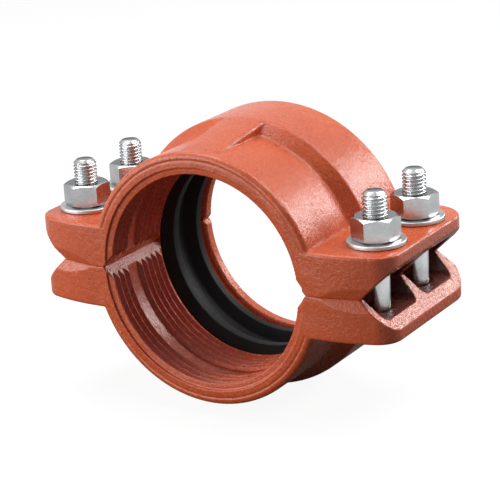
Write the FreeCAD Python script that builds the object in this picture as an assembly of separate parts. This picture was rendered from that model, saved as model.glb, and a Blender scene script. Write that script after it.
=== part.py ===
"""Transition coupling: two bolted cast halves that join a plain-end plastic pipe to a grooved steel pipe.

Frame: the origin is on the pipe axis, in the middle of the toothed bore. +Y runs along the pipe towards
the grooved end, +Z is up and +X is to the right. The halves meet on the plane z = 0. The lengths below
are measured from the mouth, and the finished solids are moved to the frame at the end.
"""

import FreeCAD, Part
import math
import os

from FreeCAD import Vector

# Pipes that the coupling joins, millimetres
pipe_diameter = 114.3
groove_diameter = 110.1

# Stretches of the bore, in order from the mouth to the rear face
mouth_step_depth = 1.4
mouth_lead_in = 0.3
tooth_pitch = 4.65
front_teeth = 4
grip_land = 8.1
rear_teeth = 5
grip_run_out = 1.34
shoulder_slope = 1.0
shoulder_width = 1.6
gasket_pocket_width = 34.2
key_wall = 5.0
key_width = 6.6

# Teeth and steps of the bore
tooth_clearance = 0.1
tooth_depth = 2.2
tooth_crest_width = 0.5
tooth_root_width = 1.0
tooth_lean = 0.6
mouth_step_height = 1.4
shoulder_height = 1.25
pipe_clearance = 2.4
key_clearance = 0.9
key_chamfer = 0.8
key_slope = 1.2

# Housing walls round the bore
skirt_wall = 9.55
riser_length = 7.1
band_rise = 6.5
band_wall = 8.1
band_rear_slope = 9.0
rear_face_drop = 8.0
mouth_groove_inset = 4.1
mouth_groove_half_width = 0.75
mouth_groove_depth = 0.5
front_rim_round = 3.0
skirt_corner_round = 2.5
band_corner_round = 2.0
band_rear_round = 5.0

# Gasket and its pocket
gasket_pocket_draft = 1.5
gasket_pocket_corner = 3.0
gasket_clearance = 0.3
gasket_wall = 5.8
lip_squeeze = 1.55
lip_length = 5.5
lip_front_slope = 5.0
lip_heel_chamfer = 1.0
gasket_hollow_front_slope = 2.0
gasket_hollow_rear_slope = 4.0

# Bolt pads
pad_height = 23.2
pad_front_bow = 110.0
pad_front_corner = 13.0
pad_rear_corner = 19.0
pad_rim_height = 6.6
pad_waist_inset = 17.1
pad_front_waist_inset = 4.8
pad_front_waist_height = 12.0
pad_rear_waist_inset = 7.0
pad_edge_round = 1.6

# Pockets behind the slanted faces of the pads
pocket_floor = 11.4
pocket_bolt_gap = 10.7
pocket_draft = 2.6
front_wall = 7.6
middle_wall = 3.8
rear_wall = 3.8
pocket_corner_round = 4.5

# Relief along the inner edges of the parting faces
relief_width = 3.1
relief_height = 3.9
key_relief_width = 2.0

# Crown ramp between the mouth and the raised band
ramp_start = 4.0
ramp_half_angle = 10.0
ramp_edge_round = 2.0

# Bolts, nuts and washers
bolt_diameter = 12.7
bolt_band_gap = 14.2
bolt_edge_gap = 18.9
bolt_front_inset = 27.6
bolt_rear_inset = 27.9
bolt_thread_showing = 12.9
bolt_tip_chamfer = 1.6
bolt_head_diameter = 24.0
bolt_head_height = 6.2
bolt_head_rim = 1.2
bolt_neck_width = 13.4
bolt_neck_length = 17.5
bolt_neck_depth = 6.0
bolt_hole_clearance = 0.8
neck_clearance = 0.35
nut_across_flats = 22.2
nut_height = 12.3
nut_thread_clearance = 0.1
nut_face_diameter = 21.3
nut_chamfer_angle = 30.0
washer_diameter = 31.0
washer_thickness = 2.4
washer_edge_round = 0.7
washer_hole_clearance = 0.5

# Radii that follow from the pipes and the walls
pipe_radius = pipe_diameter / 2
crest_radius = pipe_radius + tooth_clearance
root_radius = crest_radius + tooth_depth
skirt_radius = root_radius + skirt_wall
band_radius = skirt_radius + band_rise
rear_face_radius = band_radius - rear_face_drop
gasket_pocket_radius = band_radius - band_wall
gasket_shoulder_radius = root_radius + shoulder_height
key_radius = groove_diameter / 2 + key_clearance
lip_radius = pipe_radius - lip_squeeze
gasket_hollow_radius = gasket_pocket_radius - gasket_wall

# Places along the pipe that follow from the stretches of the bore
tooth_flanks = tooth_pitch - tooth_crest_width - tooth_root_width
crest_offset = tooth_root_width / 2 + tooth_flanks * tooth_lean
first_crest = mouth_step_depth + mouth_lead_in
front_teeth_start = first_crest - crest_offset
rear_teeth_start = front_teeth_start + front_teeth * tooth_pitch + grip_land
last_crest = rear_teeth_start + (rear_teeth - 1) * tooth_pitch + crest_offset + tooth_crest_width
grip_middle = (first_crest + last_crest) / 2
shoulder_start = rear_teeth_start + rear_teeth * tooth_pitch + grip_run_out + shoulder_slope
gasket_pocket_start = shoulder_start + shoulder_width
gasket_pocket_end = gasket_pocket_start + gasket_pocket_width
key_start = gasket_pocket_end + key_wall
housing_length = key_start + key_width
band_start = shoulder_start
skirt_length = band_start - riser_length
band_end = housing_length - band_rear_slope

# Places across the pipe that follow from the ring
bolt_radius = bolt_diameter / 2
bolt_half_spacing = band_radius + bolt_band_gap
pad_half_width = bolt_half_spacing + bolt_edge_gap
bolt_rows = {"front": bolt_front_inset, "rear": housing_length - bolt_rear_inset}
bolt_sides = {"left": -1, "right": 1}
bolt_length = 2 * pad_height + washer_thickness + nut_height + bolt_thread_showing

# Reach of a cutting tool past the surface that it cuts, and the tolerance for finding an edge
overlap = 1.0
tolerance = 0.01

X_AXIS = Vector(1, 0, 0)
Y_AXIS = Vector(0, 1, 0)
Z_AXIS = Vector(0, 0, 1)
ORIGIN = Vector(0, 0, 0)


def polygon(points):
    """A closed wire through the points."""
    corners = [Vector(*point) for point in points]
    return Part.makePolygon(corners + [corners[0]])


def ring(outline):
    """A solid of revolution about the pipe axis from (radius, y) points."""
    face = Part.Face(polygon([(radius, y, 0) for radius, y in outline]))
    return face.revolve(ORIGIN, Y_AXIS, 360)


def box(low, high):
    """A box between two opposite corners."""
    size = Vector(*high) - Vector(*low)
    return Part.makeBox(size.x, size.y, size.z, Vector(*low))


def edges_where(solid, test):
    """The edges of a solid whose bounding box passes a test."""
    return [edge for edge in solid.Edges if test(edge.BoundBox)]


def circle_edges(solid, radius, y):
    """The edges of a ring that lie on one circle about the pipe axis."""
    found = []
    for edge in solid.Edges:
        curve = edge.Curve
        if isinstance(curve, Part.Circle):
            if abs(curve.Radius - radius) < tolerance and abs(curve.Center.y - y) < tolerance:
                found.append(edge)
    return found


def mirrored_pair(solid):
    """A solid and its mirror image on the other side of the pipe."""
    return [solid, solid.mirror(ORIGIN, X_AXIS)]


def outer_ring():
    """The ring as a full disc: the skirt with a groove round its front face, the riser and the band."""
    groove_radius = skirt_radius - mouth_groove_inset
    disc = ring([
        (0, 0),
        (groove_radius - mouth_groove_half_width, 0),
        (groove_radius, mouth_groove_depth),
        (groove_radius + mouth_groove_half_width, 0),
        (skirt_radius, 0),
        (skirt_radius, skirt_length),
        (band_radius, band_start),
        (band_radius, band_end),
        (rear_face_radius, housing_length),
        (0, housing_length),
    ])
    disc = disc.makeFillet(front_rim_round, circle_edges(disc, skirt_radius, 0))
    disc = disc.makeFillet(skirt_corner_round, circle_edges(disc, skirt_radius, skirt_length))
    disc = disc.makeFillet(band_corner_round, circle_edges(disc, band_radius, band_start))
    return disc.makeFillet(band_rear_round, circle_edges(disc, band_radius, band_end))


def crown_ramp():
    """The ramp on the crown that climbs from the mouth to the raised band."""
    outline = polygon([
        (crest_radius, ramp_start, 0),
        (skirt_radius, ramp_start, 0),
        (band_radius, band_start, 0),
        (crest_radius, band_start, 0),
    ])
    wedge = Part.Face(outline).revolve(ORIGIN, Y_AXIS, -2 * ramp_half_angle)
    wedge.rotate(ORIGIN, Y_AXIS, ramp_half_angle - 90)
    return wedge


def on_ramp_edge(bounds):
    """Whether an edge of the casting is one of the two long upper edges of the ramp."""
    long_enough = bounds.YLength > skirt_length - ramp_start
    return long_enough and bounds.ZLength > overlap and bounds.ZMin > root_radius


def arc_through(centre, radius, start, end):
    """An arc in the XY plane between two angles in degrees."""
    angles = [math.radians(angle) for angle in (start, (start + end) / 2, end)]
    points = [Vector(centre[0] + radius * math.cos(a), centre[1] + radius * math.sin(a), 0) for a in angles]
    return Part.Arc(*points).toShape()


def pad_plan():
    """The right pad seen from above: its front bows back from the mouth's face into a round corner."""
    corner_x = pad_half_width - pad_front_corner
    spacing = pad_front_bow - pad_front_corner
    turn = math.asin((corner_x - skirt_radius) / spacing)
    corner_y = pad_front_bow - spacing * math.cos(turn)
    bow_end = math.degrees(turn) - 90
    bow = arc_through((skirt_radius, pad_front_bow), pad_front_bow, -90, bow_end)
    front_arc = arc_through((corner_x, corner_y), pad_front_corner, bow_end, 0)
    rear_centre = (pad_half_width - pad_rear_corner, housing_length - pad_rear_corner)
    rear_arc = arc_through(rear_centre, pad_rear_corner, 0, 90)
    inner = crest_radius + overlap
    start = Vector(inner, 0, 0)
    end = Vector(inner, housing_length, 0)
    return Part.Wire([
        Part.makeLine(start, bow.Vertexes[0].Point),
        bow,
        front_arc,
        Part.makeLine(front_arc.Vertexes[1].Point, rear_arc.Vertexes[0].Point),
        rear_arc,
        Part.makeLine(rear_arc.Vertexes[1].Point, end),
        Part.makeLine(end, start),
    ])


def slanted_cut(near, far, height):
    """The outline of a wedge that trims a wall from `near` at z = 0 out to `far` at the given height."""
    slope = (far - near) / height
    reach = far + overlap
    return [(near - overlap * slope, -overlap), (reach, -overlap), (reach, height), (far, height)]


def front_waist_cut():
    """A slanted prism that trims the front of the pad towards its narrowest point."""
    reach = pad_half_width + overlap
    slope = pad_front_waist_inset / (pad_half_width - pad_waist_inset - skirt_radius)
    triangle = polygon([
        (skirt_radius, 0, 0),
        (reach, 0, 0),
        (reach, slope * (reach - skirt_radius), 0),
    ])
    return Part.Face(triangle).extrude(Vector(0, -pad_front_waist_inset, pad_front_waist_height))


def on_rim(bounds):
    """Whether an edge of the pad runs along the outer rim of its bolting face."""
    return bounds.ZMin > pad_height - tolerance and bounds.XMax > crest_radius + 2 * overlap


def pad():
    """The right bolt pad: a plate with a rim, narrowing to a waist at the parting plane."""
    block = Part.Face(pad_plan()).extrude(Vector(0, 0, pad_height))
    rim_start = pad_height - pad_rim_height
    side = slanted_cut(pad_half_width - pad_waist_inset, pad_half_width, rim_start)
    side_face = Part.Face(polygon([(x, -overlap, z) for x, z in side]))
    block = block.cut(side_face.extrude(Vector(0, housing_length + 2 * overlap, 0)))
    rear = slanted_cut(housing_length - pad_rear_waist_inset, housing_length, rim_start)
    rear_face = Part.Face(polygon([(0, y, z) for y, z in rear]))
    block = block.cut(rear_face.extrude(Vector(pad_half_width + overlap, 0, 0)))
    block = block.cut(front_waist_cut()).removeSplitter()
    return block.makeFillet(pad_edge_round, edges_where(block, on_rim))


def is_pocket_corner(bounds):
    """Whether an edge of a pocket is rounded: those of its floor and of its inner end."""
    on_floor = bounds.ZMin > pocket_floor - tolerance
    on_inner_end = bounds.XLength < overlap and bounds.XMax < bolt_half_spacing
    along_pocket = on_floor and bounds.XLength > overlap
    return along_pocket or on_inner_end and bounds.ZMax > pocket_floor - tolerance


def pockets():
    """The two hollows round the bolts of the right pad, wider at the parting plane than at their floor."""
    inner = bolt_half_spacing - pocket_bolt_gap
    length = pad_half_width + overlap - inner
    split = (bolt_rows["front"] + bolt_rows["rear"]) / 2
    rear = housing_length - pad_rear_waist_inset - rear_wall
    spans = [(front_wall, split - middle_wall / 2), (split + middle_wall / 2, rear)]
    hollows = []
    for start, end in spans:
        section = Part.Face(polygon([
            (inner, start, -overlap),
            (inner, start, 0),
            (inner, start + pocket_draft, pocket_floor),
            (inner, end - pocket_draft, pocket_floor),
            (inner, end, 0),
            (inner, end, -overlap),
        ]))
        hollow = section.extrude(Vector(length, 0, 0))
        hollows.append(hollow.makeFillet(pocket_corner_round, edges_where(hollow, is_pocket_corner)))
    return hollows


def teeth_outline(start, count):
    """Saw-tooth points of one toothed stretch, from its first root to its last."""
    points = []
    for index in range(count):
        y = start + index * tooth_pitch
        points.append((root_radius, y + tooth_root_width / 2))
        points.append((crest_radius, y + crest_offset))
        points.append((crest_radius, y + crest_offset + tooth_crest_width))
        points.append((root_radius, y + tooth_pitch - tooth_root_width / 2))
    return points


def bore():
    """Everything that the housings leave open round the pipe axis."""
    mouth_radius = root_radius + mouth_step_height
    outline = [
        (0, -overlap),
        (mouth_radius, -overlap),
        (mouth_radius, mouth_step_depth),
        (root_radius, mouth_step_depth),
    ]
    outline += teeth_outline(front_teeth_start, front_teeth)[1:]
    outline += teeth_outline(rear_teeth_start, rear_teeth)
    outline += [
        (root_radius, shoulder_start - shoulder_slope),
        (gasket_shoulder_radius, shoulder_start),
        (gasket_shoulder_radius, gasket_pocket_start),
        (gasket_pocket_radius, gasket_pocket_start + gasket_pocket_draft),
        (gasket_pocket_radius, gasket_pocket_end - gasket_pocket_draft),
        (gasket_pocket_radius - gasket_pocket_corner, gasket_pocket_end),
        (pipe_radius + pipe_clearance, gasket_pocket_end),
        (pipe_radius + pipe_clearance, key_start - key_slope),
        (key_radius + key_chamfer, key_start),
        (key_radius, key_start + key_chamfer),
        (key_radius, housing_length - key_chamfer),
        (key_radius + key_chamfer, housing_length),
        (key_radius + key_chamfer, housing_length + overlap),
        (0, housing_length + overlap),
    ]
    return ring(outline)


def parting_reliefs():
    """Planar chamfers along the inner edges of the parting faces, at the teeth and at the key."""
    cuts = []
    stretches = [
        (crest_radius, root_radius + relief_width, -overlap, shoulder_start),
        (key_radius, key_radius + key_relief_width, gasket_pocket_end, housing_length + overlap),
    ]
    for inner, top, start, end in stretches:
        slope = relief_width / relief_height
        reach = (top - inner + overlap) / slope
        outline = [
            (top + overlap * slope, start, -overlap),
            (inner - overlap, start, -overlap),
            (inner - overlap, start, reach),
        ]
        cuts += mirrored_pair(Part.Face(polygon(outline)).extrude(Vector(0, end - start, 0)))
    return cuts


def bolt_places():
    """The side name, row name and axis position of each bolt."""
    for side, sign in bolt_sides.items():
        for row, y in bolt_rows.items():
            yield side, row, Vector(sign * bolt_half_spacing, y, 0)


def casting():
    """The half housing above the parting plane, without its bolt holes."""
    body = outer_ring().fuse([crown_ramp()] + mirrored_pair(pad())).removeSplitter()
    body = body.makeFillet(ramp_edge_round, edges_where(body, on_ramp_edge))
    reach = pad_half_width + overlap
    body = body.cut(box((-reach, -overlap, -reach), (reach, housing_length + overlap, 0)))
    hollows = []
    for hollow in pockets():
        hollows += mirrored_pair(hollow)
    body = body.cut(hollows)
    body = body.cut([bore()] + parting_reliefs())
    return body.removeSplitter()


def upper_housing(shape):
    """The upper half, with a round clearance hole for each bolt."""
    holes = []
    radius = bolt_radius + bolt_hole_clearance
    for side, row, place in bolt_places():
        holes.append(Part.makeCylinder(radius, pad_height + overlap, place))
    return shape.cut(holes)


def oval(length, width, height, place):
    """An upright prism with a long-hole outline, its length along the pipe axis."""
    left = place + Vector(-width / 2, 0, 0)
    right = place + Vector(width / 2, 0, 0)
    end = Vector(0, length / 2, 0)
    step = Vector(0, (length - width) / 2, 0)
    wire = Part.Wire([
        Part.Arc(right + step, place + end, left + step).toShape(),
        Part.makeLine(left + step, left - step),
        Part.Arc(left - step, place - end, right - step).toShape(),
        Part.makeLine(right - step, right + step),
    ])
    return Part.Face(wire).extrude(Vector(0, 0, height))


def lower_housing(shape):
    """The same casting turned over, with an oval hole for each bolt's neck."""
    turned = shape.copy()
    turned.rotate(ORIGIN, Y_AXIS, 180)
    length = bolt_neck_length + 2 * neck_clearance
    width = bolt_neck_width + 2 * neck_clearance
    holes = []
    for side, row, place in bolt_places():
        holes.append(oval(length, width, pad_height, place - Vector(0, 0, pad_height + overlap)))
    return turned.cut(holes)


def gasket():
    """The rubber ring: two lips that seal on the pipes and a hollow between them."""
    outer = gasket_pocket_radius - gasket_clearance
    start = gasket_pocket_start + gasket_pocket_draft + gasket_clearance
    end = gasket_pocket_end - gasket_clearance
    lip_start = gasket_pocket_start + lip_front_slope
    hollow_start = lip_start + lip_length + gasket_hollow_front_slope
    return ring([
        (outer, start),
        (gasket_shoulder_radius - gasket_clearance, gasket_pocket_start),
        (lip_radius, lip_start),
        (lip_radius, lip_start + lip_length),
        (gasket_hollow_radius, hollow_start),
        (gasket_hollow_radius, end - lip_length - gasket_hollow_rear_slope),
        (lip_radius, end - lip_length),
        (lip_radius, end - lip_heel_chamfer),
        (lip_radius + lip_heel_chamfer, end),
        (outer - gasket_pocket_corner, end),
        (outer, end - gasket_pocket_draft),
    ])


def bolt(place):
    """A bolt with a low domed head, an oval neck and a plain shank up to its chamfered tip."""
    seat = -pad_height
    tip = seat + bolt_length
    head_radius = bolt_head_diameter / 2
    rim = seat - bolt_head_rim
    dome_height = bolt_head_height - bolt_head_rim
    dome_radius = (head_radius ** 2 + dome_height ** 2) / (2 * dome_height)
    centre = rim - dome_height + dome_radius
    half_way = math.asin(head_radius / dome_radius) / 2
    dome_point = Vector(dome_radius * math.sin(half_way), 0, centre - dome_radius * math.cos(half_way))
    corners = [
        Vector(0, 0, rim - dome_height),
        Vector(0, 0, tip),
        Vector(bolt_radius - bolt_tip_chamfer, 0, tip),
        Vector(bolt_radius, 0, tip - bolt_tip_chamfer),
        Vector(bolt_radius, 0, seat),
        Vector(head_radius, 0, seat),
        Vector(head_radius, 0, rim),
    ]
    dome = Part.Arc(corners[-1], dome_point, corners[0]).toShape()
    profile = Part.Wire([Part.makePolygon(corners), dome])
    turned = Part.Face(profile).revolve(ORIGIN, Z_AXIS, 360)
    neck = oval(bolt_neck_length, bolt_neck_width, bolt_neck_depth, Vector(0, 0, seat))
    whole = turned.fuse(neck).removeSplitter()
    whole.translate(place)
    return whole


def washer(place):
    """A plain washer on the upper pad, its outer edges rounded."""
    base = place + Vector(0, 0, pad_height)
    disc = Part.makeCylinder(washer_diameter / 2, washer_thickness, base)
    disc = disc.makeFillet(washer_edge_round, edges_where(disc, lambda bounds: bounds.ZLength < tolerance))
    return disc.cut(Part.makeCylinder(bolt_radius + washer_hole_clearance, washer_thickness, base))


def nut(place):
    """A heavy hex nut with chamfered corners, its bore just clear of the bolt's thread."""
    base = pad_height + washer_thickness
    half_side = math.pi / 6
    corner_radius = nut_across_flats / 2 / math.cos(half_side)
    corners = []
    for index in range(6):
        angle = half_side * (2 * index + 1)
        corners.append((corner_radius * math.cos(angle), corner_radius * math.sin(angle), base))
    prism = Part.Face(polygon(corners)).extrude(Vector(0, 0, nut_height))
    face_radius = nut_face_diameter / 2
    rise = (corner_radius - face_radius) * math.tan(math.radians(nut_chamfer_angle))
    top = base + nut_height
    envelope = Part.Face(polygon([
        (0, 0, base),
        (face_radius, 0, base),
        (corner_radius, 0, base + rise),
        (corner_radius, 0, top - rise),
        (face_radius, 0, top),
        (0, 0, top),
    ])).revolve(ORIGIN, Z_AXIS, 360)
    whole = prism.common(envelope)
    bore_radius = bolt_radius + nut_thread_clearance
    whole = whole.cut(Part.makeCylinder(bore_radius, nut_height, Vector(0, 0, base)))
    whole.translate(place)
    return whole


def all_parts():
    """Every node's name with its solid."""
    half = casting()
    parts = {
        "upper_housing": upper_housing(half),
        "lower_housing": lower_housing(half),
        "gasket": gasket(),
    }
    for side, row, place in bolt_places():
        name = f"{row}_{side}"
        parts[f"bolt_{name}"] = bolt(place)
        parts[f"nut_{name}"] = nut(place)
        parts[f"washer_{name}"] = washer(place)
    return parts


os.makedirs("parts", exist_ok=True)
for node, solid in all_parts().items():
    solid.translate(Vector(0, -grip_middle, 0))
    solid.exportStep(f"parts/{node}.step")
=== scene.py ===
"""Looks of the transition coupling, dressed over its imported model.

Functions work in metres. Constants are in millimetres unless their comment says otherwise,
and depths are measured along Y from the mouth.
"""

import math

import bmesh
import bpy
import numpy as np
from mathutils import Matrix, Vector


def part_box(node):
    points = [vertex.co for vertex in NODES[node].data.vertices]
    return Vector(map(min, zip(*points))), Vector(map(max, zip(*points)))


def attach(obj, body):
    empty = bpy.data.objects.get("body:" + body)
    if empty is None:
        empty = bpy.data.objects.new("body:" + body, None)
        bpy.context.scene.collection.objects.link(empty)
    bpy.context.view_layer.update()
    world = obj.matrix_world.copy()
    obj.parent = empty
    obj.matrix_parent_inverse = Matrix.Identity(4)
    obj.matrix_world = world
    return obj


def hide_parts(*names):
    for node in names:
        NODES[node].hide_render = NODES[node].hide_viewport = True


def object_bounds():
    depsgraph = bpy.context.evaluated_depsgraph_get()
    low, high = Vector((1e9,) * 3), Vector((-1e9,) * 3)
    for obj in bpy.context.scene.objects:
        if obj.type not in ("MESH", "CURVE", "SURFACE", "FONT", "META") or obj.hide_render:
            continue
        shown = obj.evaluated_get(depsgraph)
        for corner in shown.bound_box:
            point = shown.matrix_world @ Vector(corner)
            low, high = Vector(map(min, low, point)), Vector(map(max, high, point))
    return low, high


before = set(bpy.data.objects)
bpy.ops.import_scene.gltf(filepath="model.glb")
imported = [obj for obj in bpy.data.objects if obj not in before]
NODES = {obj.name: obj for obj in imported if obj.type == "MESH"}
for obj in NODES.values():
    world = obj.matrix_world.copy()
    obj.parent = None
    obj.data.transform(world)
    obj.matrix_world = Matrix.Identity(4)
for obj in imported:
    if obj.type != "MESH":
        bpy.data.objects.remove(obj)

cad_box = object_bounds()
MOUTH_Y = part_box("upper_housing")[0].y
MM = 0.001
WHITE = (1, 1, 1, 1)

# Camera, as fitted to the photograph: angles in degrees round the centre of the mouth, distance
# and shifts in metres, lens and sensor in millimetres
CAMERA_AZIMUTH = 32.51
CAMERA_ELEVATION = 17.83
CAMERA_ROLL = -3.56
CAMERA_DISTANCE = 1.0187
CAMERA_RIGHT = 0.02658
CAMERA_UP = 0.01468
CAMERA_LENS = 140.92
SENSOR_WIDTH = 36.0

# Lamps, as (direction, distance, width, height, watts), in metres
LAMPS = {
    "rear_softbox": ((0.46, 0.80, 0.35), 1.2, 0.30, 0.26, 5.8),
    "right_softbox": ((0.42, 0.35, 0.84), 1.2, 0.7, 0.7, 9.0),
    "top_softbox": ((-0.35, 0.05, 0.93), 1.3, 0.7, 0.7, 8.3),
    "left_softbox": ((-0.75, -0.60, 0.28), 1.5, 0.8, 0.8, 10.5),
    "front_softbox": ((-0.36, -0.92, 0.12), 1.5, 0.6, 0.6, 7.0),
}

# World: its light on the object, and its share of white in reflections from the left and right,
# with the X of the directions between which the one fades into the other
WORLD_FILL = 0.02
LEFT_SHARE = 0.85
RIGHT_SHARE = 0.25
FADE_START = 0.10
FADE_END = 0.50

# Floor: half its side, its gap under the part, its grey, its glow where it is seen, and the
# share of that glow in reflections near the part, which paints a pool of shade there, with the
# radii between which it grows to one
FLOOR_HALF = 6000.0
FLOOR_GAP = 0.2
FLOOR_GREY = (0.14, 0.14, 0.14, 1)
FLOOR_GLOW = 0.92
NEAR_SHADE_SHARE = 0.03
SHADE_POOL_INNER = 120.0
SHADE_POOL_OUTER = 600.0

# Section of the ring
SKIRT_RADIUS = 69.0
SKIRT_LENGTH = 44.5
BAND_RADIUS = 75.5
BAND_START = 51.6
BAND_END = 90.0
HOUSING_LENGTH = 99.0
REAR_FACE_RADIUS = 67.5
CREST_RADIUS = 57.25
ROOT_RADIUS = 59.45
TEETH_LENGTH = 51.0
KEY_RADIUS = 55.95
KEY_START = 92.0

# Straight stretches of that section, as pairs of (radius, depth). Outside they stop short of the
# soft edges.
RING_STRETCHES = [
    ((SKIRT_RADIUS, 3.0), (SKIRT_RADIUS, SKIRT_LENGTH - 1.5)),
    ((SKIRT_RADIUS + 0.6, SKIRT_LENGTH + 0.66), (BAND_RADIUS - 0.6, BAND_START - 0.66)),
    ((BAND_RADIUS, BAND_START + 1.0), (BAND_RADIUS, BAND_END - 2.0)),
    ((BAND_RADIUS - 1.4, BAND_END + 1.57), (REAR_FACE_RADIUS, HOUSING_LENGTH)),
    ((ROOT_RADIUS, 0.0), (ROOT_RADIUS, TEETH_LENGTH)),
    ((CREST_RADIUS, 0.0), (CREST_RADIUS, TEETH_LENGTH)),
    ((KEY_RADIUS, KEY_START), (KEY_RADIUS, HOUSING_LENGTH)),
]
SNAP_REACH = 0.09
SNAP_OVERRUN = 0.2

# Cast surface: voxels of the first mesh, and faces kept
VOXEL = 0.4
CASTING_TRIANGLES = 190000

# Smoothing: how far one pass moves a point, passes for the castings' edges and, more lightly, for
# the teeth, and the bounds of the toothed part
RELAX_STEP = 0.5
EDGE_PASSES = 5
TOOTH_PASSES = 1
TOOTH_WEIGHT = 0.6
TEETH_OUTSIDE = 66.5
TEETH_DEPTH = (-0.2, 52.0)

# Fillets between the pads' faces and the ring: passes, and how far round the corner they reach
FILLET_PASSES = 36
FILLET_HEIGHT = 3.5
FILLET_WIDTH = 3.0
FILLET_OFFSET = 1.5
FILLET_START = 1.0
RAMP_MIDDLE = BAND_START - 2.0

# Bolt pockets in the pads, where shade is painted into the coat as a darker colour: their place in
# X, depth and height over the parting plane, the blur of those bounds, and how far outward a wall
# may face to be an inner one
POCKET_X = (79.0, 112.0)
POCKET_DEPTHS = (7.2, 88.6)
POCKET_HEIGHT = 12.2
POCKET_SIDE_BLUR = 0.5
POCKET_BLUR = 0.3
POCKET_FACING = (0.3, 0.6)

# Toothed bore, where shade is painted into the coat as a darker colour: the radii between which it
# ends, its depths, their blur
BORE_EDGE = (60.0, 60.5)
BORE_DEPTHS = (1.7, 51.5)
BORE_BLUR = 0.5

# Gasket: sides of its turning, and corners of its section as (radius, distance from its front or
# rear face, rounding)
GASKET_SIDES = 288
GASKET_LIP = 55.6
GASKET_HOLLOW = 61.6
GASKET_FRONT = [
    (60.4, 0.0, 0.8),
    (GASKET_LIP, 5.0, 1.6),
    (GASKET_LIP, 10.5, 1.0),
    (GASKET_HOLLOW, 12.5, 1.6),
]
GASKET_REAR = [
    (GASKET_HOLLOW, 9.5, 2.5),
    (GASKET_LIP, 5.5, 1.0),
    (GASKET_LIP, 1.0, 0.5),
    (56.6, 0.0, 0.5),
    (64.1, 0.0, 1.5),
]
GASKET_FRONT_SHOULDER = 1.8
GASKET_REAR_SHOULDER = 1.5
SHOULDER_ROUND = 0.8

# Rounding of an outline's corners: points on each, and the most of a side that one may take up
ROUND_STEPS = 5
ROUND_LIMIT = 0.45

# Bolts: domed head, oval neck, and plain shank, whose end is measured from the head's seat
HEAD_RADIUS = 12.0
HEAD_HEIGHT = 6.2
HEAD_EDGE = 0.3
DOME_HEIGHT = 5.0
DOME_STEPS = 8
NECK_HALF_WIDTH = 6.7
NECK_HALF_LENGTH = 8.75
NECK_HEIGHT = 6.0
NECK_EDGE = 0.3
NECK_INSET = 0.25
BOLT_RADIUS = 6.35
SHANK_END = 39.0

# Bolt threads, with the share of a half pitch that is flat at the root, and that is flank, and
# the angle over which the bolt's edges stay crisp
THREAD_PITCH = 25.4 / 13
THREAD_DEPTH = 0.95
THREAD_ROOT = 0.14
THREAD_FLANK = 0.72
THREAD_SIDES = 72
THREAD_STEPS = 14
TIP_CHAMFER = 1.9
CRISP_ANGLE = math.radians(50)

# Soft edges of the nuts and washers
SOFT_EDGE = 0.25
SOFT_SEGMENTS = 2
SOFT_ANGLE = math.radians(30)
SHADING_WEIGHT = 50

# Layers of the cast surface under the paint, as (noise scale, detail, roughness, relief), with
# scales in cycles a metre, and the pits scattered over it in patches
CAST_LAYERS = {
    "broad": (38.0, 4.0, 0.5, 0.80),
    "lumps": (190.0, 3.0, 0.6, 0.20),
    "fine": (480.0, 3.0, 0.6, 0.24),
    "grain": (1300.0, 2.0, 0.55, 0.20),
}
PIT_SCALE = 270.0
PIT_EDGE = (0.10, 0.21)
PIT_PATCH_SCALE = 95.0
PIT_PATCH_EDGE = (0.50, 0.62)
PIT_RELIEF = 0.10

# Middle stretch of a noise, over which colours and roughness change
NOISE_RANGE = (0.3, 0.7)

# Colours of the paint, with how much the darker ones cover, and its roughness
PAINT_DEEP = (0.62, 0.094, 0.024, 1)
PAINT_BRIGHT = (0.71, 0.123, 0.032, 1)
PAINT_MOTTLE = (0.50, 0.066, 0.022, 1)
PAINT_PIT = (0.16, 0.030, 0.014, 1)
# The bore and pocket colours below are painted shade: darker paint where the bore and the bolt
# pockets lie in shade
PAINT_BORE_SHADE = (0.34, 0.050, 0.020, 1)
PAINT_POCKET_SHADE = (0.16, 0.048, 0.038, 1)
MOTTLE_RANGE = (0.62, 0.30)
MOTTLE_SHARE = 0.35
PIT_SHARE = 0.65
BORE_SHADE_SHARE = 0.12
PAINT_ROUGHNESS = (0.19, 0.33)

# Rubber of the gasket: colours, roughness, specular level, relief, and the scales of its noises
RUBBER_DEEP = (0.007, 0.007, 0.008, 1)
RUBBER_BRIGHT = (0.015, 0.014, 0.014, 1)
RUBBER_ROUGHNESS = (0.50, 0.66)
RUBBER_SPECULAR = 0.18
RUBBER_RELIEF = 0.05
RUBBER_BROAD = 60.0
RUBBER_RANGE = (0.35, 0.7)
RUBBER_FINE = 900.0

# Zinc plate of the bolts and nuts, and of the washers: least and most bright, least and most
# rough, and how bright it stays at its edges; then its hue, relief and the scales of its noises
BRIGHT_ZINC = (0.54, 0.68, 0.17, 0.28, 0.32)
DULL_ZINC = (0.50, 0.62, 0.38, 0.50, 0.60)
ZINC_HUE = (0.97, 0.99, 1.0)
ZINC_RELIEF = 0.03
ZINC_BROAD = 120.0
ZINC_FINE = 650.0


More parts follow.
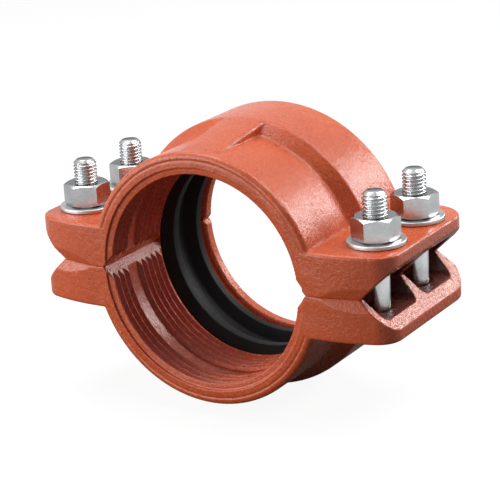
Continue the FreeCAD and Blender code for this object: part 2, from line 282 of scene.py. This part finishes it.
def add_camera():
    """A camera at the photograph's viewing angle."""
    azimuth = math.radians(CAMERA_AZIMUTH)
    elevation = math.radians(CAMERA_ELEVATION)
    roll = math.radians(CAMERA_ROLL)
    flat = math.cos(elevation)
    back = Vector((math.sin(azimuth) * flat, -math.cos(azimuth) * flat, math.sin(elevation)))
    right = Vector((math.cos(azimuth), math.sin(azimuth), 0))
    up = back.cross(right)
    side = math.cos(roll) * right + math.sin(roll) * up
    top = math.cos(roll) * up - math.sin(roll) * right
    data = bpy.data.cameras.new("photo_camera")
    data.lens = CAMERA_LENS
    data.sensor_width = SENSOR_WIDTH
    camera = bpy.data.objects.new("photo_camera", data)
    bpy.context.scene.collection.objects.link(camera)
    turn = (side, top, back)
    matrix = [[axis[row] for axis in turn] for row in range(3)]
    camera.rotation_mode = "QUATERNION"
    camera.rotation_quaternion = Matrix(matrix).to_quaternion()
    mouth = Vector((0, MOUTH_Y, 0))
    shift = right * CAMERA_RIGHT + up * CAMERA_UP
    camera.location = mouth + back * CAMERA_DISTANCE + shift
    bpy.context.scene.camera = camera


def new_object(name, mesh):
    """A linked object for a mesh, shaded smooth."""
    piece = bpy.data.objects.new(name, mesh)
    bpy.context.scene.collection.objects.link(piece)
    mesh.shade_smooth()
    return piece


def built_object(name, form):
    """A linked object for a finished bmesh, with its faces outward."""
    bmesh.ops.recalc_face_normals(form, faces=form.faces)
    mesh = bpy.data.meshes.new(name)
    form.to_mesh(mesh)
    form.free()
    return new_object(name, mesh)


def evaluated_mesh(piece):
    """The mesh of an object after its modifiers."""
    graph = bpy.context.evaluated_depsgraph_get()
    graph.update()
    return bpy.data.meshes.new_from_object(piece.evaluated_get(graph), depsgraph=graph)


def coordinates(mesh):
    """The vertices of a mesh as an array."""
    flat = np.empty(len(mesh.vertices) * 3, np.float32)
    mesh.vertices.foreach_get("co", flat)
    return flat.reshape(-1, 3).astype(np.float64)


def set_coordinates(mesh, points):
    """Writes an array back to the vertices of a mesh."""
    mesh.vertices.foreach_set("co", points.astype(np.float32).ravel())
    mesh.update()


def edge_pairs(mesh):
    """The two vertices of each edge of a mesh as an array."""
    pairs = np.empty(len(mesh.edges) * 2, np.int32)
    mesh.edges.foreach_get("vertices", pairs)
    return pairs.reshape(-1, 2)


def radius_and_depth(points):
    """Distance of points from the pipe axis and from the mouth, in millimetres."""
    radius = np.hypot(points[:, 0] / MM, points[:, 2] / MM)
    return radius, (points[:, 1] - MOUTH_Y) / MM


def snap_to_ring(points):
    """Moves points that lie close to a round surface of the ring exactly onto it."""
    radius, depth = radius_and_depth(points)
    best = np.full(len(points), SNAP_REACH)
    target = radius.copy()
    for (r0, y0), (r1, y1) in RING_STRETCHES:
        length = math.hypot(r1 - r0, y1 - y0)
        outward, inward = (r1 - r0) / length, (y1 - y0) / length
        along = (radius - r0) * outward + (depth - y0) * inward
        off = (radius - r0) * inward - (depth - y0) * outward
        beside = (along > -SNAP_OVERRUN) & (along < length + SNAP_OVERRUN)
        near = beside & (np.abs(off) < best)
        best[near] = np.abs(off[near])
        target[near] = (radius - off * inward)[near]
    factor = target / np.maximum(radius, 1e-9)
    points[:, 0] *= factor
    points[:, 2] *= factor
    return points


def relax(points, edges, weight, passes):
    """Laplacian smoothing in place: a pass moves points towards the mean of their neighbours."""
    touched = edges[(weight[edges] > 0).any(axis=1)]
    used, places = np.unique(touched, return_inverse=True)
    a, b = places.reshape(-1, 2).T
    count = len(used)
    part, share = points[used], weight[used, None] * RELAX_STEP
    degree = np.bincount(a, minlength=count) + np.bincount(b, minlength=count)
    for _ in range(passes):
        mean = np.empty_like(part)
        for axis in range(3):
            first = np.bincount(a, part[b, axis], count)
            second = np.bincount(b, part[a, axis], count)
            mean[:, axis] = (first + second) / degree
        part += (mean - part) * share
    points[used] = part


def near_teeth(radius, depth):
    """True for points on or close behind the toothed bore."""
    return (radius < TEETH_OUTSIDE) & (depth > TEETH_DEPTH[0]) & (depth < TEETH_DEPTH[1])


def in_pad_corner(radius, depth, height):
    """True for points in the corners where the pads' faces meet the ring."""
    pad_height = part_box("washer_front_right")[0].z / MM
    ring_radius = np.where(depth < RAMP_MIDDLE, SKIRT_RADIUS, BAND_RADIUS)
    level = np.abs(np.abs(height) - pad_height) < FILLET_HEIGHT
    beside = np.abs(radius - ring_radius - FILLET_OFFSET) < FILLET_WIDTH
    return level & beside & (depth > FILLET_START) & (depth < BAND_END)


def even_shading(piece):
    """Normals that follow a piece's large faces, by a modifier."""
    weighted = piece.modifiers.new("even shading", "WEIGHTED_NORMAL")
    weighted.weight = SHADING_WEIGHT


def cast_shell(node):
    """A fine copy of a housing, with the soft edges of a casting."""
    source = bpy.data.objects.new("shell_source", NODES[node].data.copy())
    bpy.context.scene.collection.objects.link(source)
    remesh = source.modifiers.new("voxels", "REMESH")
    remesh.mode = "VOXEL"
    remesh.voxel_size = VOXEL * MM
    mesh = evaluated_mesh(source)
    bpy.data.objects.remove(source)
    edges = edge_pairs(mesh)
    points = snap_to_ring(coordinates(mesh))
    radius, depth = radius_and_depth(points)
    toothed = near_teeth(radius, depth)
    relax(points, edges, np.where(toothed, 0.0, 1.0), EDGE_PASSES)
    relax(points, edges, np.where(toothed, TOOTH_WEIGHT, 0.0), TOOTH_PASSES)
    corner = in_pad_corner(radius, depth, points[:, 2] / MM)
    relax(points, edges, np.where(corner, 1.0, 0.0), FILLET_PASSES)
    set_coordinates(mesh, points)
    shell = new_object(node + "_cast", mesh)
    thin = shell.modifiers.new("fewer faces", "DECIMATE")
    thin.ratio = CASTING_TRIANGLES / (2 * len(mesh.polygons))
    shell.data = evaluated_mesh(shell)
    shell.data.shade_smooth()
    shell.modifiers.clear()
    even_shading(shell)
    return shell


def lathe(name, outline, sides):
    """A closed ring turned about the pipe axis from (radius, y) points in metres."""
    form = bmesh.new()
    loops = []
    for index in range(sides):
        angle = 2 * math.pi * index / sides
        c, s = math.cos(angle), math.sin(angle)
        loops.append([form.verts.new((r * c, y, r * s)) for r, y in outline])
    count = len(outline)
    for index in range(sides):
        here, there = loops[index], loops[(index + 1) % sides]
        for corner in range(count):
            after = (corner + 1) % count
            form.faces.new((here[corner], here[after], there[after], there[corner]))
    return built_object(name, form)


def rounded_outline(corners):
    """A closed outline whose corners, given as (radius, y, round), become arcs."""
    points = []
    count = len(corners)
    for index in range(count):
        r, y, size = corners[index]
        here = Vector((r, y))
        before = Vector(corners[index - 1][:2]) - here
        after = Vector(corners[(index + 1) % count][:2]) - here
        half = before.angle(after) / 2
        reach = min(size / math.tan(half), ROUND_LIMIT * min(before.length, after.length))
        start = here + before.normalized() * reach
        end = here + after.normalized() * reach
        for step in range(ROUND_STEPS + 1):
            t = step / ROUND_STEPS
            points.append(start.lerp(here, t).lerp(here.lerp(end, t), t))
    return [(point.x, point.y) for point in points]


def rubber_ring():
    """The gasket, with round lips, in the place of its solid."""
    low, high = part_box("gasket")
    front, rear, outer = low.y / MM, high.y / MM, high.x / MM
    corners = [(radius, front + depth, size) for radius, depth, size in GASKET_FRONT]
    corners += [(radius, rear - depth, size) for radius, depth, size in GASKET_REAR]
    corners += [
        (outer, rear - GASKET_REAR_SHOULDER, SHOULDER_ROUND),
        (outer, front + GASKET_FRONT_SHOULDER, SHOULDER_ROUND),
    ]
    outline = rounded_outline([(r * MM, y * MM, size * MM) for r, y, size in corners])
    return lathe("gasket_rubber_ring", outline, GASKET_SIDES)


def long_hole(half_width, half_length, sides):
    """Points of a long-hole outline about the origin, its length along Y.

    Equal halves make a circle.
    """
    straight = half_length - half_width
    points = []
    for index in range(sides):
        angle = 2 * math.pi * index / sides
        on_axis = index % (sides // 2) == 0
        shift = 0.0 if on_axis else math.copysign(straight, math.sin(angle))
        points.append((half_width * math.cos(angle), half_width * math.sin(angle) + shift))
    return points


def bolt_sections(bottom):
    """Sections from a bolt's head up to its shank, as (half width, half length, height)."""
    seat = bottom + HEAD_HEIGHT
    shank = seat + NECK_HEIGHT
    sections = []
    for step in range(1, DOME_STEPS + 1):
        turn = step / DOME_STEPS * math.pi / 2
        radius = HEAD_RADIUS * math.sin(turn)
        sections.append((radius, radius, bottom + DOME_HEIGHT * (1 - math.cos(turn))))
    rim = HEAD_RADIUS - HEAD_EDGE
    return sections + [
        (HEAD_RADIUS, HEAD_RADIUS, seat - HEAD_EDGE),
        (rim, rim, seat),
        (NECK_HALF_WIDTH, NECK_HALF_LENGTH, seat),
        (NECK_HALF_WIDTH, NECK_HALF_LENGTH, shank - NECK_EDGE),
        (NECK_HALF_WIDTH - NECK_INSET, NECK_HALF_LENGTH - NECK_INSET, shank),
        (BOLT_RADIUS, BOLT_RADIUS, shank),
    ]


def thread_radius(turn, height, length):
    """Radius of the threaded shank at a height above the start of a thread of some length."""
    phase = (height / THREAD_PITCH - turn) % 1.0
    rise = min(phase, 1.0 - phase) * 2
    flank = min(max((rise - THREAD_ROOT) / THREAD_FLANK, 0.0), 1.0)
    run_in = min(max(height / THREAD_PITCH, 0.0), 1.0)
    radius = BOLT_RADIUS - THREAD_DEPTH * (1.0 - flank) * run_in
    chamfer = BOLT_RADIUS - TIP_CHAMFER + length - height
    return min(radius, chamfer)


def threaded_bolt(node):
    """A bolt with its domed head, oval neck, plain shank and cut thread, in place of its solid."""
    low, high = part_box(node)
    centre = (low + high) / 2
    bottom, top = low.z / MM, high.z / MM
    form = bmesh.new()
    loops = []
    for half_width, half_length, z in bolt_sections(bottom):
        outline = long_hole(half_width, half_length, THREAD_SIDES)
        loops.append([form.verts.new((x, y, z)) for x, y in outline])
    start = bottom + HEAD_HEIGHT + SHANK_END
    length = top - start
    levels = int(length / THREAD_PITCH * THREAD_STEPS)
    for level in range(levels + 1):
        height = length * level / levels
        loop = []
        for index in range(THREAD_SIDES):
            turn = index / THREAD_SIDES
            angle = 2 * math.pi * turn
            r = thread_radius(turn, height, length)
            loop.append(form.verts.new((r * math.cos(angle), r * math.sin(angle), start + height)))
        loops.append(loop)
    for here, there in zip(loops, loops[1:]):
        for index in range(THREAD_SIDES):
            after = (index + 1) % THREAD_SIDES
            form.faces.new((here[index], here[after], there[after], there[index]))
    form.faces.new(list(reversed(loops[0])))
    form.faces.new(loops[-1])
    piece = built_object(node + "_threaded", form)
    points = coordinates(piece.data) * MM
    points[:, 0] += centre.x
    points[:, 1] += centre.y
    set_coordinates(piece.data, points)
    crisp = piece.modifiers.new("crisp edges", "EDGE_SPLIT")
    crisp.split_angle = CRISP_ANGLE
    return piece


def soften(piece):
    """Rounds the sharp edges of a solid by a modifier."""
    bevel = piece.modifiers.new("soft edges", "BEVEL")
    bevel.width = SOFT_EDGE * MM
    bevel.segments = SOFT_SEGMENTS
    bevel.limit_method = "ANGLE"
    bevel.angle_limit = SOFT_ANGLE
    bevel.harden_normals = False
    piece.data.shade_smooth()
    even_shading(piece)


class Nodes:
    """A small helper that adds nodes to a material or world and links them."""

    def __init__(self, owner, shader="Principled BSDF"):
        owner.use_nodes = True
        self.owner = owner
        self.tree = owner.node_tree
        self.shader = self.tree.nodes[shader]

    def add(self, kind, values=None, **settings):
        node = self.tree.nodes.new(kind)
        for key, value in settings.items():
            setattr(node, key, value)
        for key, value in (values or {}).items():
            if isinstance(value, bpy.types.NodeSocket):
                self.tree.links.new(value, node.inputs[key])
            else:
                node.inputs[key].default_value = value
        return node

    def link(self, output, socket):
        self.tree.links.new(output, self.shader.inputs[socket])

    def place(self):
        return self.add("ShaderNodeTexCoord").outputs["Object"]

    def split(self, vector):
        return self.add("ShaderNodeSeparateXYZ", {"Vector": vector}).outputs

    def noise(self, scale, detail=3.0, roughness=0.5):
        values = {
            "Vector": self.place(),
            "Scale": scale,
            "Detail": detail,
            "Roughness": roughness,
        }
        return self.add("ShaderNodeTexNoise", values).outputs["Fac"]

    def math(self, operation, first, second=0.0):
        values = {0: first, 1: second}
        return self.add("ShaderNodeMath", values, operation=operation).outputs[0]

    def spread(self, value, low, high, to_low=0.0, to_high=1.0, kind="LINEAR"):
        values = {
            "Value": value,
            "From Min": low,
            "From Max": high,
            "To Min": to_low,
            "To Max": to_high,
        }
        node = self.add("ShaderNodeMapRange", values, interpolation_type=kind)
        return node.outputs["Result"]

    def blend(self, factor, first, second):
        values = {0: factor, 6: first, 7: second}
        return self.add("ShaderNodeMix", values, data_type="RGBA").outputs[2]

    def bump(self, height, distance, normal=None):
        values = {"Height": height, "Distance": distance, "Strength": 1.0}
        if normal is not None:
            values["Normal"] = normal
        return self.add("ShaderNodeBump", values).outputs["Normal"]


def inside(n, value, low, high, edge):
    """One where a value lies between two bounds, with soft edges, and zero elsewhere."""
    rise = n.spread(value, low - edge, low + edge)
    fall = n.spread(value, high - edge, high + edge, 1.0, 0.0)
    return n.math("MULTIPLY", rise, fall)


def between_depths(n, y, depths, edge):
    """One where Y lies between two depths in millimetres, and zero elsewhere."""
    low, high = (MOUTH_Y + depth * MM for depth in depths)
    return inside(n, y, low, high, edge * MM)


def pocket_shade_mask(n):
    """One on the inner walls of the bolt pockets, where shade is painted, and zero elsewhere."""
    place = n.add("ShaderNodeTexCoord")
    spot = n.split(place.outputs["Object"])
    facing = n.split(place.outputs["Normal"])
    across = n.math("ABSOLUTE", spot["X"])
    height = n.math("ABSOLUTE", spot["Z"])
    outward = n.math("MULTIPLY", n.math("SIGN", spot["X"]), facing["X"])
    low, high = (POCKET_HEIGHT - POCKET_BLUR) * MM, (POCKET_HEIGHT + POCKET_BLUR) * MM
    mask = inside(n, across, POCKET_X[0] * MM, POCKET_X[1] * MM, POCKET_SIDE_BLUR * MM)
    mask = n.math("MULTIPLY", mask, between_depths(n, spot["Y"], POCKET_DEPTHS, POCKET_BLUR))
    mask = n.math("MULTIPLY", mask, n.spread(height, low, high, 1.0, 0.0))
    return n.math("MULTIPLY", mask, n.spread(outward, *POCKET_FACING, 1.0, 0.0))


def bore_shade_mask(n):
    """One inside the toothed bore, where shade is painted, and zero elsewhere."""
    spot = n.split(n.place())
    square_x = n.math("MULTIPLY", spot["X"], spot["X"])
    square_z = n.math("MULTIPLY", spot["Z"], spot["Z"])
    radius = n.math("SQRT", n.math("ADD", square_x, square_z))
    within = n.spread(radius, BORE_EDGE[0] * MM, BORE_EDGE[1] * MM, 1.0, 0.0)
    return n.math("MULTIPLY", within, between_depths(n, spot["Y"], BORE_DEPTHS, BORE_BLUR))


def pit_mask(n):
    """One in small pits that lie scattered in patches, and zero elsewhere."""
    values = {"Vector": n.place(), "Scale": PIT_SCALE, "Randomness": 1.0}
    distance = n.add("ShaderNodeTexVoronoi", values).outputs["Distance"]
    patches = n.spread(n.noise(PIT_PATCH_SCALE, 2.0), *PIT_PATCH_EDGE)
    return n.math("MULTIPLY", n.spread(distance, *PIT_EDGE, 1.0, 0.0), patches)


def paint_material():
    """Orange-red enamel over a sand-cast surface, pitted, with painted shade in the bore and the
    pockets.
    """
    n = Nodes(bpy.data.materials.new("housing_paint"))
    pits = pit_mask(n)
    layers = {}
    normal = None
    for name, (scale, detail, roughness, relief) in CAST_LAYERS.items():
        layers[name] = n.noise(scale, detail, roughness)
        normal = n.bump(layers[name], relief * MM, normal)
    normal = n.bump(n.math("SUBTRACT", 1.0, pits), PIT_RELIEF * MM, normal)
    n.link(normal, "Normal")
    mottle = n.spread(layers["fine"], *MOTTLE_RANGE, 0.0, MOTTLE_SHARE)
    color = n.blend(n.spread(layers["broad"], *NOISE_RANGE), PAINT_DEEP, PAINT_BRIGHT)
    color = n.blend(mottle, color, PAINT_MOTTLE)
    color = n.blend(n.math("MULTIPLY", pits, PIT_SHARE), color, PAINT_PIT)
    # Painted shade: darker paint inside the toothed bore
    color = n.blend(n.math("MULTIPLY", bore_shade_mask(n), BORE_SHADE_SHARE), color, PAINT_BORE_SHADE)
    # Painted shade: darker paint on the inner walls of the bolt pockets
    color = n.blend(pocket_shade_mask(n), color, PAINT_POCKET_SHADE)
    n.link(color, "Base Color")
    n.link(n.spread(layers["fine"], *NOISE_RANGE, *PAINT_ROUGHNESS), "Roughness")
    return n.owner


def rubber_material():
    """Dull black rubber."""
    n = Nodes(bpy.data.materials.new("gasket_rubber"))
    fine = n.noise(RUBBER_FINE)
    broad = n.noise(RUBBER_BROAD)
    n.link(n.blend(n.spread(broad, *RUBBER_RANGE), RUBBER_DEEP, RUBBER_BRIGHT), "Base Color")
    n.shader.inputs["Specular IOR Level"].default_value = RUBBER_SPECULAR
    n.link(n.spread(fine, *NOISE_RANGE, *RUBBER_ROUGHNESS), "Roughness")
    n.link(n.bump(fine, RUBBER_RELIEF * MM), "Normal")
    return n.owner


def zinc_material(name, dark, bright, smooth, rough, edge):
    """Zinc plate on steel, as bright, smooth and dim at its edges as the values say."""
    n = Nodes(bpy.data.materials.new(name))
    fine = n.noise(ZINC_FINE)
    broad = n.noise(ZINC_BROAD, 2.0)
    low, high = [tuple(level * part for part in ZINC_HUE) + (1,) for level in (dark, bright)]
    n.link(n.blend(n.spread(broad, *NOISE_RANGE), low, high), "Base Color")
    n.shader.inputs["Metallic"].default_value = 1.0
    n.shader.inputs["Specular Tint"].default_value = (edge, edge, edge, 1)
    n.link(n.spread(fine, *NOISE_RANGE, smooth, rough), "Roughness")
    n.link(n.bump(fine, ZINC_RELIEF * MM), "Normal")
    return n.owner


def give(piece, material):
    """Makes a material the only one of a piece."""
    piece.data.materials.clear()
    piece.data.materials.append(material)


def seen_strength(n, unseen, seen, share):
    """One strength for diffuse light, and another where the camera or a reflection sees it.

    The camera sees the whole of it, and everything else sees a share of it.
    """
    path = n.add("ShaderNodeLightPath").outputs
    either = n.math("MAXIMUM", path["Is Camera Ray"], path["Is Glossy Ray"])
    either = n.math("MAXIMUM", either, path["Is Transmission Ray"])
    strength = n.spread(either, 0.0, 1.0, unseen, seen)
    return n.math("MULTIPLY", strength, n.math("MAXIMUM", path["Is Camera Ray"], share))


def add_world():
    """White where it is seen, less so in reflections from the right, and a soft fill elsewhere."""
    world = bpy.data.worlds.new("studio")
    bpy.context.scene.world = world
    n = Nodes(world, "Background")
    n.shader.inputs["Color"].default_value = WHITE
    direction = n.split(n.add("ShaderNodeTexCoord").outputs["Generated"])
    fade = (FADE_START, FADE_END, LEFT_SHARE, RIGHT_SHARE)
    share = n.spread(direction["X"], *fade, kind="SMOOTHSTEP")
    n.link(seen_strength(n, WORLD_FILL, 1.0, share), "Strength")


def floor_material():
    """A pale floor that glows where it is seen, with a painted pool of shade in reflections near
    the part.
    """
    n = Nodes(bpy.data.materials.new("pale_floor"))
    n.shader.inputs["Base Color"].default_value = FLOOR_GREY
    n.shader.inputs["Roughness"].default_value = 1.0
    n.shader.inputs["Specular IOR Level"].default_value = 0.0
    n.shader.inputs["Emission Color"].default_value = WHITE
    reach = n.add("ShaderNodeVectorMath", {0: n.place()}, operation="LENGTH").outputs["Value"]
    # Painted shade: the glow seen in reflections fades to a dark pool near the part
    shade_pool = (SHADE_POOL_INNER * MM, SHADE_POOL_OUTER * MM, NEAR_SHADE_SHARE, 1.0)
    share = n.spread(reach, *shade_pool, kind="SMOOTHERSTEP")
    n.link(seen_strength(n, 0.0, FLOOR_GLOW, share), "Emission Strength")
    return n.owner


def add_floor():
    """A pale floor under the ring, which keeps the shadow."""
    half = FLOOR_HALF * MM
    level = cad_box[0].z - FLOOR_GAP * MM
    signs = [(-1, -1), (1, -1), (1, 1), (-1, 1)]
    mesh = bpy.data.meshes.new("floor")
    mesh.from_pydata([(x * half, y * half, level) for x, y in signs], [], [(0, 1, 2, 3)])
    floor = new_object("floor", mesh)
    give(floor, floor_material())


def add_softbox(name, direction, distance, width, height, power):
    """A rectangular lamp that faces the part from a direction."""
    data = bpy.data.lights.new(name, "AREA")
    data.shape = "RECTANGLE"
    data.size = width
    data.size_y = height
    data.energy = power
    lamp = bpy.data.objects.new(name, data)
    bpy.context.scene.collection.objects.link(lamp)
    towards = Vector(direction).normalized()
    lamp.location = towards * distance
    lamp.rotation_mode = "QUATERNION"
    lamp.rotation_quaternion = towards.to_track_quat("Z", "Y")


add_camera()
add_world()
add_floor()
for lamp_name, lamp_values in LAMPS.items():
    add_softbox(lamp_name, *lamp_values)

paint = paint_material()
rubber = rubber_material()
zinc = zinc_material("zinc_plate", *BRIGHT_ZINC)
dull_zinc = zinc_material("dull_zinc_plate", *DULL_ZINC)

for half in ("upper", "lower"):
    shell = cast_shell(half + "_housing")
    give(shell, paint)
    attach(shell, half + "_half")
    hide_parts(half + "_housing")

gasket = rubber_ring()
give(gasket, rubber)
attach(gasket, "lower_half")
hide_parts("gasket")

for node in NODES:
    if node.startswith("bolt"):
        piece = threaded_bolt(node)
        give(piece, zinc)
        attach(piece, "lower_half")
        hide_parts(node)
    elif node.startswith(("nut", "washer")):
        give(NODES[node], zinc if node.startswith("nut") else dull_zinc)
        soften(NODES[node])

view = bpy.context.scene.view_settings
view.view_transform = "Standard"
